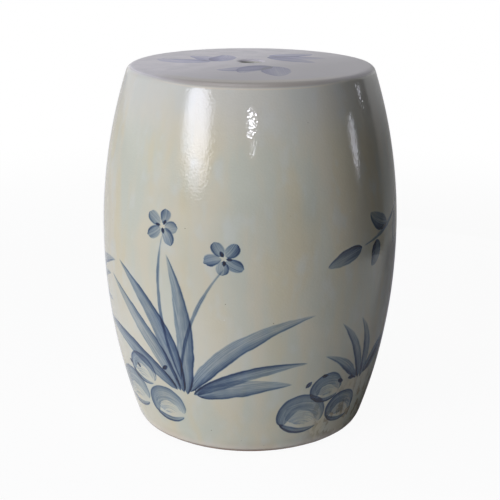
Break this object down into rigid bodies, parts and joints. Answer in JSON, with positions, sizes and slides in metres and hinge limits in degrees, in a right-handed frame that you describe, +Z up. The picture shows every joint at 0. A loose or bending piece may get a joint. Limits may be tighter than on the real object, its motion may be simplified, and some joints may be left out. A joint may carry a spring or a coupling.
{
  "type": "garden stool",
  "caption": "Barrel-shaped glazed ceramic garden stool with a gently crowned round seat, a finger hole in its middle, a hollow curved wall and a turned-in open foot.",
  "frame": {"origin": "on the floor, at the middle of the foot ring", "axes": "+Z up along the barrel's axis; -Y towards the side that the picture shows"},
  "size_m": [0.3699, 0.37, 0.4569],
  "materials": {
    "clay": "unglazed stoneware, matt",
    "foot_clay": "unglazed stoneware flashed reddish brown, matt",
    "lute": "fired slip, matt",
    "coil_clay": "unglazed stoneware, thumbed, matt",
    "glaze": "glossy clear grey-green glaze over blue brushwork"
  },
  "bodies": {
    "root": {"seat_disc": "clay", "upper_drum": "clay", "lower_drum": "clay", "foot_ring": "foot_clay", "seat_lute": "lute", "belly_lute": "lute", "foot_lute": "lute", "seat_coil": "coil_clay", "foot_coil": "coil_clay", "belly_band": "coil_clay", "glaze_coat": "glaze"}
  },
  "joints": []
}
